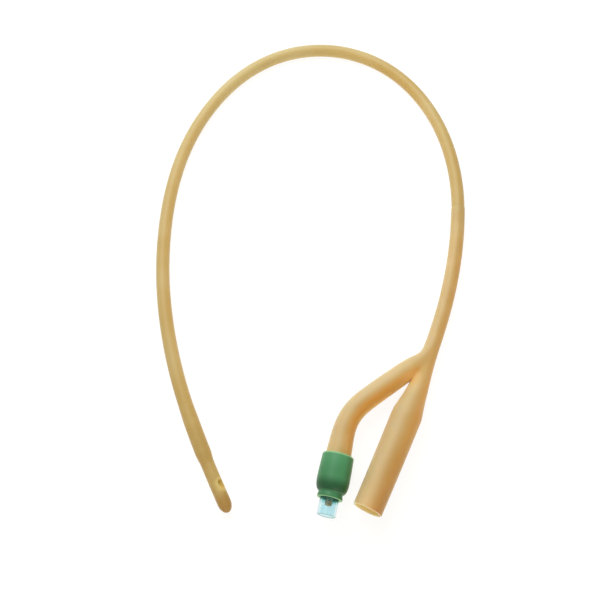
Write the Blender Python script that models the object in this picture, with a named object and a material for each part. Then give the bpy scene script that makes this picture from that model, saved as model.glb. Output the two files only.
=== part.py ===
# Two-way urinary drainage catheter of natural latex, French size 14, lying loose on a flat surface.
# Everything is in metres, +Z is up and the surface is z = 0. The tube's plan follows ROUTE from the rounded
# tip, round an open loop and down to the mouth of the drainage funnel. Places along it are stations: lengths
# measured from the tip. Places along the inflation arm are measured from where its axis leaves the tube's.
import math

import bmesh
import bpy
import numpy as np
from mathutils import Matrix, Vector

# Clearance between neighbouring pieces, and how far a cutter runs past the face that it opens
GAP = 0.0003
OVERCUT = 0.001

# Tube: a French size is three times the outer diameter in millimetres
FRENCH_SIZE = 14
SHAFT_OD = FRENCH_SIZE / 3 * 0.001
SHAFT_POINT_SPACING = 2.4 * SHAFT_OD
DRAINAGE_LUMEN = 0.0024
LUMEN_OFFSET = 0.0004

# Rounded tip: the body ahead of the balloon, with a slimmer seat that runs back inside the balloon
TIP_LENGTH = 0.0163
TIP_OD = 0.0042
TIP_NOSE = 0.0034
TIP_CLOSED = 0.0026
EYE_LENGTH = 0.0034
EYE_WIDTH = 0.0021
EYE_STATION = 0.0084
EYE_STAGGER = 0.0024
EYE_ROLL = 38
EYE_DEPTH = 0.0015
GROOVE_WIDTH = 0.0006
GROOVE_DEPTH = 0.00035

# Balloon: a thin latex sleeve, flat while empty
BALLOON_LENGTH = 0.0198
BALLOON_OD = 0.00496
BALLOON_WALL = 0.00027
BALLOON_TAPER = 0.006
BALLOON_STEP = 0.0012
BALLOON_EDGE = 0.00005

# Connector: sleeve, junction, drainage funnel and inflation arm in one latex moulding
CONNECTOR_LENGTH = 0.1144
SLEEVE_OD = 0.00494
SLEEVE_END_OD = 0.00506
FUNNEL_LENGTH = 0.0549
FLARE_LENGTH = 0.0225
FLARE_POWER = 1.85
FUNNEL_SHOULDER_OD = 0.00976
FUNNEL_MOUTH_OD = 0.0090
FUNNEL_WALL = 0.0008
FUNNEL_TILT = 3.0
MOULDING_LEAD = 0.0008
ARM_ANGLE = 33.3
ARM_RUN = 0.0256
ARM_BEND = 41.6
ARM_BEND_LENGTH = 0.0170
ARM_LENGTH = 0.0478
ARM_ROOT_OD = 0.0067
ARM_OD = 0.0071
ARM_END_OD = 0.0079
ARM_RISE = 7.5
ARM_TILT = 4.5
ARM_LUMEN = 0.0018
INFLATION_LUMEN = 0.0007
INFLATION_OFFSET = 0.00172
LUMEN_LEAVES = 0.004
LUMEN_ENTERS = 0.009
LUMEN_WIDENS = 0.006
LUMEN_WIDE = 0.014
SOCKET_LEAD = 0.0006
ARM_INSERT = 0.0046

# Junction: where the three tubes meet, from the point where the two axes cross. The root rings are the first
# ones past the crotch, and their slant brings them nearer to it on the inner side.
CROTCH_REACH = 0.0113
HINGE_REACH = 0.0030
CORNER_REACH = 0.0007
JUNCTION_RISE = 0.00285
PARTING_LEAD = 0.0035
ROOT_REACH = 0.0095
FUNNEL_ROOT_SLANT = 0.0034
ARM_ROOT_SLANT = 0.0032
ARM_FIRST_RING = 0.0153

# Green valve collar, from its upper edge to its lip
COLLAR_TOP_OD = 0.0098
COLLAR_OD = 0.0101
COLLAR_BELLY = 0.0077
COLLAR_SHOULDER = 0.0097
COLLAR_NECK_OD = 0.0073
COLLAR_LIP_OD = 0.0078
COLLAR_LENGTH = 0.0132
COLLAR_EDGE = 0.0004
COLLAR_FILLET = 0.0003
LIP_EDGE = 0.0008

# Clear valve housing with its syringe port, and the barbed tail that closes it
PORT_OD = 0.0057
PORT_REACH = 0.0051
PORT_BORE = 0.0043
PORT_SEAT_BORE = 0.0040
PORT_DEPTH = 0.0062
SEAT_THICKNESS = 0.0007
HOUSING_OD = 0.0072
HOUSING_STEP = 0.0104
HOUSING_EDGE = 0.00015
CHAMBER_BORE = 0.0052
TAIL_FLANGE = 0.0006
TAIL_PLUG = 0.0008
TAIL_BARB = 0.0066
TAIL_OD = 0.0038
TAIL_BARB_RISE = 0.00018
TAIL_BARB_LENGTH = 0.0012
TAIL_BARB_PLACES = (0.72, 0.36)
TAIL_NOSE = 0.0003
TAIL_BORE = 0.0020

# Sprung valve stem, its seal and its spring
STEM_OD = 0.0026
STEM_TOP_OD = 0.0020
STEM_TAPER = 0.0030
STEM_SHOWS = 0.0020
STEM_FLANGE_OD = 0.0044
STEM_FLANGE = 0.0006
STEM_GUIDE_OD = 0.0014
STEM_GUIDE_CLEARS = 0.0010
STEM_EDGE = 0.00012
SEAL_OD = 0.0046
SEAL_THICKNESS = 0.0007
SEAL_LEAN = 0.0002
SPRING_OD = 0.0034
SPRING_WIRE = 0.00028
SPRING_TURNS = 3
SPRING_POINTS_PER_TURN = 14

# Sides of the round shapes, and the spacing of the points along the tube's smooth plan
ROUTE_SPACING = 0.00025
RING = 16
BORE_SIDES = 20
LUMEN_SIDES = 12
TURNED_SIDES = 40
HOUSING_SIDES = 32
SMALL_SIDES = 24

# Plan of the tube's centreline, tip first, mouth of the funnel last
ROUTE = [
    (-0.03245, -0.05290),
    (-0.03842, -0.04100),
    (-0.04480, -0.02711),
    (-0.05069, -0.01210),
    (-0.05546, 0.00430),
    (-0.05877, 0.02208),
    (-0.06011, 0.04120),
    (-0.05912, 0.06144),
    (-0.05480, 0.08221),
    (-0.04603, 0.10206),
    (-0.03250, 0.11891),
    (-0.01450, 0.12923),
    (0.00554, 0.13028),
    (0.02405, 0.12185),
    (0.03789, 0.10562),
    (0.04583, 0.08526),
    (0.04824, 0.06379),
    (0.04641, 0.04319),
    (0.04219, 0.02412),
    (0.03637, 0.00669),
    (0.03278, -0.00211),
    (0.02805, -0.01381),
    (0.02386, -0.02235),
    (0.01781, -0.03493),
    (0.00915, -0.05262),
]

UP = np.array([0.0, 0.0, 1.0])


def ease(x):
    """0 to 1 with no slope at either end."""
    x = np.clip(x, 0.0, 1.0)
    return x * x * (3 - 2 * x)


def smooth_through(points):
    """Natural cubic curve through the points, sampled densely. Its parameter is the chord length."""
    points = np.asarray(points, float)
    knots = np.r_[0, np.cumsum(np.linalg.norm(np.diff(points, axis=0), axis=1))]
    h = np.diff(knots)
    count = len(points)
    system = np.eye(count)
    right = np.zeros_like(points)
    for i in range(1, count - 1):
        system[i, i - 1 : i + 2] = h[i - 1], 2 * (h[i - 1] + h[i]), h[i]
        right[i] = 6 * ((points[i + 1] - points[i]) / h[i] - (points[i] - points[i - 1]) / h[i - 1])
    bend = np.linalg.solve(system, right)
    t = np.linspace(0, knots[-1], int(knots[-1] / ROUTE_SPACING) + 1)
    span = np.clip(np.searchsorted(knots, t, side="right") - 1, 0, count - 2)
    width = h[span][:, None]
    b = ((t - knots[span]) / h[span])[:, None]
    a = 1 - b
    curved = (a**3 - a) * bend[span] + (b**3 - b) * bend[span + 1]
    return a * points[span] + b * points[span + 1] + curved * width**2 / 6


class Path:
    """A centreline: dense points, their stations, and the frame at any station."""

    def __init__(self, points):
        self.points = np.asarray(points, float)
        steps = np.linalg.norm(np.diff(self.points, axis=0), axis=1)
        self.stations = np.r_[0, np.cumsum(steps)]
        self.length = self.stations[-1]
        self.tangents = np.gradient(self.points, self.stations, axis=0)

    def mix(self, values, s):
        return np.stack([np.interp(s, self.stations, values[:, k]) for k in range(values.shape[1])], axis=-1)

    def at(self, s):
        """Points at these stations, carried on along the end directions past either end."""
        inside = np.clip(s, 0, self.length)
        past = np.asarray(s - inside)[..., None]
        return self.mix(self.points, inside) + past * self.tangent(inside)

    def tangent(self, s):
        t = self.mix(self.tangents, np.clip(s, 0, self.length))
        return t / np.linalg.norm(t, axis=-1, keepdims=True)

    def side(self, s):
        """Level direction across the path, towards the inflation arm."""
        across = np.cross(self.tangent(s), UP)
        return across / np.linalg.norm(across, axis=-1, keepdims=True)

    def rise(self, s):
        """Direction square to the path and to its side, close to straight up."""
        return np.cross(self.side(s), self.tangent(s))

    def around(self, s, angle, radius, offset=0.0):
        """Points on a tube: angle 0 is the top and a quarter turn the side. Offset shifts the axis sideways."""
        s, angle = np.broadcast_arrays(s, angle)
        side, rise = self.side(s), self.rise(s)
        ring = np.sin(angle)[..., None] * side + np.cos(angle)[..., None] * rise
        return self.at(s) + offset * side + np.asarray(radius)[..., None] * ring


def turn_angles(count):
    return np.arange(count) * 2 * math.pi / count


def main_radius(s, length):
    """Outer radius of the moulding along the tube: sleeve, flare to a firm shoulder, taper to the mouth."""
    start, junction = length - CONNECTOR_LENGTH, length - FUNNEL_LENGTH
    along = np.clip((s - start) / (junction - start), 0, 1)
    sleeve = SLEEVE_OD / 2 + along * (SLEEVE_END_OD - SLEEVE_OD) / 2
    flare = np.clip((s - junction) / FLARE_LENGTH, 0, 1) ** FLARE_POWER
    beyond = np.clip((s - junction - FLARE_LENGTH) / (FUNNEL_LENGTH - FLARE_LENGTH), 0, 1)
    taper = beyond * (FUNNEL_SHOULDER_OD - FUNNEL_MOUTH_OD) / 2
    return sleeve + flare * (FUNNEL_SHOULDER_OD - SLEEVE_END_OD) / 2 - taper


def arm_radius(s):
    """Outer radius of the inflation arm: nearly even, then stretched where it goes over the valve."""
    start = ARM_ROOT_OD / 2 + (ARM_OD - ARM_ROOT_OD) / 2 * ease(s / ARM_RUN)
    bend_end = ARM_RUN + ARM_BEND_LENGTH
    return start + (ARM_END_OD - ARM_OD) / 2 * ease((s - bend_end * 0.9) / (ARM_LENGTH - bend_end * 0.9))


def main_path():
    """Centreline of the tube. It rests on the surface, and past its shoulder the funnel tilts up."""
    plan = smooth_through(ROUTE)
    steps = np.linalg.norm(np.diff(plan, axis=0), axis=1)
    s = np.r_[0, np.cumsum(steps)]
    length = s[-1]
    balloon_end = TIP_LENGTH + BALLOON_LENGTH
    sleeve_start = length - CONNECTOR_LENGTH
    shoulder = length - FUNNEL_LENGTH + FLARE_LENGTH
    settle = 5 * SHAFT_OD
    height = np.full_like(s, SHAFT_OD / 2)
    height += (BALLOON_OD - SHAFT_OD) / 2 * ease(1 - (s - balloon_end) / settle)
    sleeve = main_radius(s, length) - SHAFT_OD / 2
    height += sleeve * ease(1 + (s - sleeve_start) / settle)
    beyond = np.clip(s - shoulder, 0, None)
    height += beyond * math.tan(math.radians(FUNNEL_TILT))
    height += beyond / (length - shoulder) * (FUNNEL_SHOULDER_OD - FUNNEL_MOUTH_OD) / 2
    return Path(np.column_stack([plan, height]))


def arm_path(main):
    """Centreline of the inflation arm: it leaves the tube at an angle and bends back along the valve."""
    junction = main.length - FUNNEL_LENGTH
    start = main.at(junction)
    along = main.tangent(junction)
    total = ARM_LENGTH + ARM_INSERT
    s = np.linspace(0, total, 240)
    turn = -ARM_ANGLE + ARM_BEND * ease((s - ARM_RUN) / ARM_BEND_LENGTH)
    heading = math.atan2(along[1], along[0]) + np.radians(turn)
    step = s[1] - s[0]
    way = np.column_stack([np.cos(heading), np.sin(heading)])
    plan = start[:2] + np.vstack([[0, 0], np.cumsum((way[1:] + way[:-1]) / 2 * step, axis=0)])
    # the height is a cubic from the tube's axis to the collar's, and straight inside the collar
    tilt = math.tan(math.radians(ARM_TILT))
    rest = COLLAR_TOP_OD / 2 / math.cos(math.radians(ARM_TILT))
    t = np.clip(s / ARM_LENGTH, 0, 1)
    cubic = (2 * t**3 - 3 * t**2 + 1) * start[2] + (3 * t**2 - 2 * t**3) * rest
    cubic += (t**3 - 2 * t**2 + t) * ARM_LENGTH * math.tan(math.radians(ARM_RISE))
    cubic += (t**3 - t**2) * ARM_LENGTH * tilt
    height = cubic + np.clip(s - ARM_LENGTH, 0, None) * tilt
    return Path(np.column_stack([plan, height]))


def material(name, colour, roughness, metallic=0.0, alpha=1.0):
    made = bpy.data.materials.new(name)
    made.use_nodes = True
    shader = made.node_tree.nodes["Principled BSDF"]
    shader.inputs["Base Color"].default_value = (*colour, 1.0)
    shader.inputs["Roughness"].default_value = roughness
    shader.inputs["Metallic"].default_value = metallic
    shader.inputs["Alpha"].default_value = alpha
    made.diffuse_color = (*colour, alpha)
    return made


def add_object(name, mesh, finish=None, parent=None):
    made = bpy.data.objects.new(name, mesh)
    bpy.context.scene.collection.objects.link(made)
    if finish is not None:
        mesh.materials.append(finish)
    if parent is not None:
        made.parent = parent
    return made


def smooth_shaded(mesh, sharp_angle=35):
    mesh.shade_smooth()
    mesh.set_sharp_from_angle(angle=math.radians(sharp_angle))


def mesh_from(name, points, faces):
    """A mesh with its faces turned outwards."""
    mesh = bpy.data.meshes.new(name)
    mesh.from_pydata([tuple(p) for p in points], [], faces)
    work = bmesh.new()
    work.from_mesh(mesh)
    bmesh.ops.recalc_face_normals(work, faces=work.faces)
    work.to_mesh(mesh)
    work.free()
    return mesh


def skin(rings, close_ends=True):
    """Points and faces of a tube through rings of as many points each."""
    count = len(rings[0])
    points = np.vstack(rings)
    faces = []
    for i in range(len(rings) - 1):
        for j in range(count):
            k = (j + 1) % count
            faces.append((i * count + j, i * count + k, (i + 1) * count + k, (i + 1) * count + j))
    if close_ends:
        faces.append(tuple(range(count)))
        faces.append(tuple(range(len(points) - count, len(points)))[::-1])
    return points, faces


def wall_skin(outer, inner):
    """Points and faces of a tube with a wall, from rings down the outside and rings up the inside."""
    count = len(outer[0])
    points, faces = skin(list(outer) + list(inner), close_ends=False)
    last = len(points) - count
    for j in range(count):
        k = (j + 1) % count
        faces.append((last + j, last + k, k, j))
    return points, faces


def cut(body, cutter):
    """Leaves the cutter's volume out of the body. The cutter itself is only a guide."""
    cutter.hide_render = True
    cutter.display_type = "WIRE"
    difference = body.modifiers.new("cut_" + cutter.name, "BOOLEAN")
    difference.operation = "DIFFERENCE"
    difference.solver = "EXACT"
    difference.object = cutter


def turned(name, profile, finish, parent, z=0.0, sides=TURNED_SIDES):
    """A turned piece. The profile is (radius, height) points, closed unless both ends are on the axis."""
    mesh = bpy.data.meshes.new(name)
    points = [(r, 0, h) for r, h in profile]
    edges = [(i, i + 1) for i in range(len(points) - 1)]
    if profile[0][0] > 0:
        edges.append((len(points) - 1, 0))
    mesh.from_pydata(points, edges, [])
    made = add_object(name, mesh, finish, parent)
    made.location = (0, 0, z)
    screw = made.modifiers.new("turn", "SCREW")
    screw.axis = "Z"
    screw.angle = 2 * math.pi
    screw.steps = sides
    screw.render_steps = sides
    screw.use_merge_vertices = True
    screw.merge_threshold = 0.00001
    screw.use_smooth_shade = True
    return made


def drainage_tip(main, finish):
    """Rounded closed tip with two staggered eyes. Its seat carries the balloon and meets the tube's end."""
    seat_end = TIP_LENGTH + BALLOON_LENGTH
    seat_radius = BALLOON_OD / 2 - BALLOON_WALL - GAP
    radius = TIP_OD / 2
    angles = turn_angles(SMALL_SIDES)
    nose = [0.035, 0.13, 0.28, 0.5, 0.75, 1.0]
    stations = [TIP_NOSE * n for n in nose] + [TIP_LENGTH * 0.5, TIP_LENGTH - GAP]
    radii = [radius * math.sqrt(1 - (1 - n) ** 2) for n in nose] + [radius, radius]
    stations += [TIP_LENGTH - GAP, seat_end]
    radii += [seat_radius, seat_radius]
    outer = [main.around(s, angles, r) for s, r in zip(stations, radii)]
    bore = DRAINAGE_LUMEN / 2
    inner_stations = [seat_end, TIP_LENGTH, TIP_LENGTH * 0.5, TIP_CLOSED + bore, TIP_CLOSED + 0.3 * bore]
    inner_radii = [bore, bore, bore, bore, 0.6 * bore]
    inner = [main.around(s, angles, r) for s, r in zip(inner_stations, inner_radii)]
    points, faces = skin(outer + inner)
    mesh = mesh_from("drainage_tip", points, faces)
    smooth_shaded(mesh)
    made = add_object("drainage_tip", mesh, finish)
    eye = (EYE_LENGTH, EYE_WIDTH)
    eye_span = (radius - EYE_DEPTH, radius + OVERCUT)
    cut(made, slot_cutter("eye_1", main, EYE_STATION, EYE_ROLL, eye, eye_span))
    cut(made, slot_cutter("eye_2", main, EYE_STATION + EYE_STAGGER, EYE_ROLL + 180, eye, eye_span))
    # the groove leads the inflation lumen to the middle of the balloon
    groove = (BALLOON_LENGTH / 2 + OVERCUT, GROOVE_WIDTH)
    groove_span = (seat_radius - GROOVE_DEPTH, seat_radius + OVERCUT)
    groove_middle = seat_end + OVERCUT - groove[0] / 2
    cut(made, slot_cutter("inflation_groove", main, groove_middle, 0, groove, groove_span))
    return made


def slot_cutter(name, main, station, roll, size, span):
    """A rounded slot that points out of the tube. Roll 0 faces the arm's side, and roll 90 faces up."""
    length, width = size
    turn = math.radians(roll)
    out = math.cos(turn) * main.side(station) + math.sin(turn) * main.rise(station)
    along = main.tangent(station)
    wide = np.cross(out, along)
    angles = turn_angles(LUMEN_SIDES)
    straight = (length - width) / 2
    slide = np.where(np.cos(angles) > 0, 1, -1) * straight
    outline = (np.cos(angles) * width / 2 + slide)[:, None] * along
    outline = outline + (np.sin(angles) * width / 2)[:, None] * wide
    centre = main.at(station)
    points, faces = skin([centre + out * reach + outline for reach in span])
    return add_object(name, mesh_from(name, points, faces))


def balloon_sleeve(main, finish):
    """Thin sleeve over the tip's seat: a firm step at the tip end, and a slow taper to the tube."""
    start, end = TIP_LENGTH, TIP_LENGTH + BALLOON_LENGTH
    inner = BALLOON_OD / 2 - BALLOON_WALL
    lean = (inner + SHAFT_OD / 2) / 2
    outline = [
        (start, lean),
        (start + BALLOON_STEP * 0.4, BALLOON_OD / 2 - BALLOON_EDGE),
        (start + BALLOON_STEP, BALLOON_OD / 2),
        ((start + end) / 2, BALLOON_OD / 2),
        (end - BALLOON_TAPER, BALLOON_OD / 2),
        (end - BALLOON_TAPER / 2, (BALLOON_OD / 2 * 0.62 + SHAFT_OD / 2 * 0.38)),
        (end, SHAFT_OD / 2),
    ]
    angles = turn_angles(SMALL_SIDES)
    outer = [main.around(s, angles, r) for s, r in outline]
    inside = [main.around(s, angles, inner) for s in (end, end - BALLOON_TAPER, (start + end) / 2, start)]
    points, faces = wall_skin(outer, inside)
    mesh = mesh_from("balloon_sleeve", points, faces)
    smooth_shaded(mesh)
    return add_object("balloon_sleeve", mesh, finish)


def shaft(main, finish):
    """The long tube, as a curve along the route between the balloon and the connector."""
    start = TIP_LENGTH + BALLOON_LENGTH + GAP
    end = main.length - CONNECTOR_LENGTH - GAP
    count = int((end - start) / SHAFT_POINT_SPACING) + 1
    curve = bpy.data.curves.new("shaft", "CURVE")
    curve.dimensions = "3D"
    curve.bevel_depth = SHAFT_OD / 2
    curve.bevel_resolution = 4
    curve.use_fill_caps = True
    spline = curve.splines.new("POLY")
    places = main.at(np.linspace(start, end, count))
    spline.points.add(count - 1)
    for point, place in zip(spline.points, places):
        point.co = (*place, 1.0)
    curve.materials.append(finish)
    made = bpy.data.objects.new("shaft", curve)
    bpy.context.scene.collection.objects.link(made)
    return made


def half_ring(centre, reach, height):
    """Half an ellipse from straight above the centre, out to its reach and round to straight below."""
    angles = np.linspace(0, math.pi, RING // 2 + 1)
    return centre + np.sin(angles)[:, None] * reach + np.cos(angles)[:, None] * height * UP


def y_connector(main, arm, finish):
    """Sleeve, junction, funnel and arm as one skin of rings that part in three, smoothed by subdivision."""
    # a smoothed ring of points lies inside its cage, so the cage is that much wider
    cage = 3 / (2 + math.cos(2 * math.pi / RING))
    angles = turn_angles(RING)
    junction = main.length - FUNNEL_LENGTH
    start = main.length - CONNECTOR_LENGTH

    def main_ring(s, slant=0.0):
        places = s + slant * np.sin(angles)
        return main.around(places, angles, cage * main_radius(places, main.length))

    def arm_ring(s, slant=0.0):
        places = s + slant * np.sin(angles)
        return arm.around(places, angles, cage * arm_radius(places))

    trunk_length = junction - start
    trunk = [main_ring(start), main_ring(start + MOULDING_LEAD)]
    trunk += [main_ring(start + trunk_length * k / 7) for k in range(1, 7)]
    trunk += [main_ring(junction - PARTING_LEAD)]

    # three half ellipses share one upright line: above and below it the three tubes meet
    between = main.tangent(junction) + arm.tangent(0.0)
    between[2] = 0
    between /= np.linalg.norm(between)
    centre = main.at(junction) + HINGE_REACH * between
    centre[2] = JUNCTION_RISE
    height = JUNCTION_RISE * cage
    corner_place = main.around(junction, math.pi / 2, cage * main_radius(junction, main.length))
    corner = corner_place + CORNER_REACH * arm.tangent(0.0)
    far_radius = cage * main_radius(junction + HINGE_REACH, main.length)
    far = main.around(junction + HINGE_REACH / 2, -math.pi / 2, far_radius)
    crotch = main.at(junction) + CROTCH_REACH * between
    level = np.array([1.0, 1.0, 0.0])
    to_arm_side = half_ring(centre, (corner - centre) * level, height)
    to_far_side = half_ring(centre, (far - centre) * level, height)
    to_crotch = half_ring(centre, (crotch - centre) * level, height)
    parting = np.vstack([to_arm_side, to_far_side[1:-1][::-1]])
    arm_root = np.vstack([to_arm_side, to_crotch[1:-1][::-1]])
    funnel_root = np.vstack([to_crotch, to_far_side[1:-1][::-1]])

    funnel = [main_ring(junction + ROOT_REACH, FUNNEL_ROOT_SLANT)]
    flare = np.array([0.66, 0.79, 0.91, 1.0, 1.12]) * FLARE_LENGTH
    beyond = FLARE_LENGTH + (FUNNEL_LENGTH - FLARE_LENGTH) * np.array([0.4, 0.7, 1.0])
    funnel += [main_ring(junction + s) for s in np.r_[flare, beyond]]
    branch = [arm_ring(ROOT_REACH, -ARM_ROOT_SLANT)]
    run = np.linspace(ARM_FIRST_RING, ARM_RUN, 3)
    bend = ARM_RUN + ARM_BEND_LENGTH * np.array([0.25, 0.5, 0.75, 1.0])
    tail = np.linspace(ARM_RUN + ARM_BEND_LENGTH, ARM_LENGTH, 3)[1:]
    end = ARM_LENGTH + ARM_INSERT
    branch += [arm_ring(s) for s in np.r_[run, bend, tail, end - MOULDING_LEAD, end]]

    points = []
    index = {}

    def place(rings):
        """Adds the rings' points, using one point where two rings share a place."""
        placed = []
        for ring in rings:
            row = []
            for p in ring:
                key = tuple(np.round(p, 7))
                if key not in index:
                    index[key] = len(points)
                    points.append(p)
                row.append(index[key])
            placed.append(row)
        return placed

    faces = []

    def join(rows):
        for first, second in zip(rows, rows[1:]):
            for j in range(RING):
                k = (j + 1) % RING
                faces.append((first[j], first[k], second[k], second[j]))

    trunk_rows = place(trunk + [parting])
    arm_rows = place([arm_root] + branch)
    funnel_rows = place([funnel_root] + funnel)
    for rows in (trunk_rows, arm_rows, funnel_rows):
        join(rows)
    ends = [trunk_rows[0], arm_rows[-1], funnel_rows[-1]]
    faces.extend(tuple(row) for row in ends)
    mesh = mesh_from("y_connector", points, faces)
    keep_edges_sharp(mesh, ends)
    mesh.shade_smooth()
    made = add_object("y_connector", mesh, finish)
    smooth = made.modifiers.new("smooth", "SUBSURF")
    smooth.levels = 1
    smooth.render_levels = 1
    cut(made, drainage_bore(main))
    cut(made, inflation_bore(main, arm))
    return made


def keep_edges_sharp(mesh, rows):
    """Full crease on the edges along these closed rows of points."""
    wanted = {frozenset((row[j], row[(j + 1) % len(row)])) for row in rows for j in range(len(row))}
    crease = mesh.attributes.new("crease_edge", "FLOAT", "EDGE")
    for edge in mesh.edges:
        if frozenset(edge.vertices) in wanted:
            crease.data[edge.index].value = 1.0


def drainage_bore(main):
    """Cutter for the drainage lumen, which opens out inside the funnel."""
    junction = main.length - FUNNEL_LENGTH
    start = main.length - CONNECTOR_LENGTH
    narrow = DRAINAGE_LUMEN / 2
    flare = np.array([0.42, 0.66, 0.8, 0.92, 1.02, 1.15]) * FLARE_LENGTH
    beyond = FLARE_LENGTH + (FUNNEL_LENGTH - FLARE_LENGTH) * np.array([0.5, 1.0])
    stations = np.r_[start - OVERCUT, np.linspace(start, junction, 8), junction + flare, junction + beyond]
    opened = main_radius(stations, main.length) - FUNNEL_WALL
    share = ease((stations - junction - 0.42 * FLARE_LENGTH) / (0.6 * FLARE_LENGTH))
    radii = narrow + (opened - narrow) * share
    shift = -LUMEN_OFFSET * (1 - share)
    angles = turn_angles(BORE_SIDES)
    rings = [main.around(s, angles, r, o) for s, r, o in zip(stations, radii, shift)]
    rings.append(rings[-1] + OVERCUT * main.tangent(main.length))
    points, faces = skin(rings)
    return add_object("drainage_bore", mesh_from("drainage_bore", points, faces))


def inflation_bore(main, arm):
    """Cutter for the inflation lumen: a fine bore beside the drainage lumen that widens in the arm."""
    junction = main.length - FUNNEL_LENGTH
    start = main.length - CONNECTOR_LENGTH
    beside = np.r_[start - OVERCUT, np.linspace(start, junction - LUMEN_LEAVES, 7)]
    places = [main.at(s) + INFLATION_OFFSET * main.side(s) for s in beside]
    places += [arm.at(s) for s in np.linspace(LUMEN_ENTERS, ARM_LENGTH, 11)]
    end = ARM_LENGTH + ARM_INSERT
    lumen = Path(smooth_through(places + [arm.at(end), arm.at(end + 2 * OVERCUT)]))
    socket = TAIL_BARB + GAP
    into_arm = lumen.length - 2 * OVERCUT - end
    deep = lumen.length - 2 * OVERCUT - socket
    fine, wide = INFLATION_LUMEN / 2, ARM_LUMEN / 2
    hole = TAIL_OD / 2 + TAIL_BARB_RISE + GAP
    trunk = np.linspace(0, into_arm + LUMEN_WIDENS, 12)
    bored = np.linspace(into_arm + LUMEN_WIDE, deep - SOCKET_LEAD, 9)
    stations = np.r_[trunk, bored, deep, lumen.length - OVERCUT]
    radii = np.r_[np.full(12, fine), np.full(9, wide), hole, hole]
    angles = turn_angles(LUMEN_SIDES)
    rings = [lumen.around(s, angles, r) for s, r in zip(stations, radii)]
    points, faces = skin(rings)
    return add_object("inflation_bore", mesh_from("inflation_bore", points, faces))


def valve_axis(arm):
    """Empty at the collar's upper edge, its Z along the valve and out of the syringe port."""
    direction = Vector(arm.tangent(ARM_LENGTH))
    made = bpy.data.objects.new("valve_axis", None)
    bpy.context.scene.collection.objects.link(made)
    turn = direction.to_track_quat("Z", "Y").to_matrix().to_4x4()
    made.matrix_world = Matrix.Translation(Vector(arm.at(ARM_LENGTH))) @ turn
    return made


def port_start():
    return ARM_INSERT + 2 * GAP + TAIL_FLANGE


def port_end():
    return COLLAR_LENGTH + PORT_REACH


def chamber_end():
    return port_end() - PORT_DEPTH - SEAT_THICKNESS


def valve_collar(axis, finish):
    """Soft sleeve that grips arm and valve: a swelling body, round shoulder, neck and flared lip."""
    entry = ARM_END_OD / 2 + GAP
    body = HOUSING_OD / 2 + GAP
    throat = PORT_OD / 2 + GAP
    neck = COLLAR_NECK_OD / 2
    lip = COLLAR_LIP_OD / 2
    belly = COLLAR_OD / 2
    top = COLLAR_TOP_OD / 2
    neck_at = (COLLAR_LENGTH + COLLAR_SHOULDER) / 2
    fillet_at = neck_at - COLLAR_FILLET
    fillet = neck + COLLAR_FILLET
    outer = [(lip - LIP_EDGE / 2, COLLAR_LENGTH), (lip - LIP_EDGE / 10, COLLAR_LENGTH - LIP_EDGE * 0.4)]
    outer += [(lip, COLLAR_LENGTH - LIP_EDGE), (lip - LIP_EDGE / 8, COLLAR_LENGTH - LIP_EDGE * 1.5)]
    outer += [(neck, neck_at), (fillet, fillet_at)]
    for turn in np.radians([75, 58, 40, 22, 0]):
        swell = fillet + (belly - fillet) * math.cos(turn)
        outer.append((swell, COLLAR_BELLY + (fillet_at - COLLAR_BELLY) * math.sin(turn)))
    outer.append((top + (belly - top) * 0.75, COLLAR_BELLY / 2))
    outer.append((top, COLLAR_EDGE))
    outer.append((top - COLLAR_EDGE * 0.3, COLLAR_EDGE * 0.3))
    outer.append((top - COLLAR_EDGE, 0))
    step = port_start() - TAIL_FLANGE - GAP
    shoulder = HOUSING_STEP + GAP
    inner = [(entry, 0), (entry, step), (body, step), (body, shoulder)]
    inner += [(throat, shoulder), (throat, COLLAR_LENGTH)]
    return turned("valve_collar", outer + inner, finish, axis)


def valve_housing(axis, finish):
    """Clear body: syringe port with its tapered bore, a seat across it, and the spring chamber behind."""
    port, body = PORT_OD / 2, HOUSING_OD / 2
    seat_hole = STEM_OD / 2 + GAP
    edge = HOUSING_EDGE
    outer = [(port - edge, port_end()), (port, port_end() - edge), (port, HOUSING_STEP)]
    outer += [(body - edge, HOUSING_STEP), (body, HOUSING_STEP - edge), (body, port_start())]
    chamber = CHAMBER_BORE / 2
    seat = chamber_end()
    inner = [(chamber, port_start()), (chamber, seat), (seat_hole, seat), (seat_hole, seat + SEAT_THICKNESS)]
    inner += [(PORT_SEAT_BORE / 2, seat + SEAT_THICKNESS), (PORT_BORE / 2, port_end())]
    return turned("valve_housing", outer + inner, finish, axis, sides=HOUSING_SIDES)


def valve_tail(axis, finish):
    """Barbed tail: a plug that closes the chamber, a flange between arm and housing, and two barbs."""
    back = ARM_INSERT + GAP
    bore = TAIL_BORE / 2
    tail = TAIL_OD / 2
    front = port_start() - GAP + TAIL_PLUG
    plug = CHAMBER_BORE / 2 - GAP
    flange = HOUSING_OD / 2
    outer = [(plug, front), (plug, port_start() - GAP), (flange, port_start() - GAP), (flange, back)]
    outer += [(tail, back)]
    end = ARM_INSERT - TAIL_BARB
    for top in TAIL_BARB_PLACES:
        crest = end + TAIL_BARB * top
        outer += [(tail, crest + TAIL_BARB_RISE / 2), (tail + TAIL_BARB_RISE, crest)]
        outer += [(tail, crest - TAIL_BARB_LENGTH)]
    outer += [(tail - TAIL_NOSE, end)]
    inner = [(bore, end), (bore, front)]
    return turned("valve_tail", outer + inner, finish, axis, sides=SMALL_SIDES)


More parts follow.
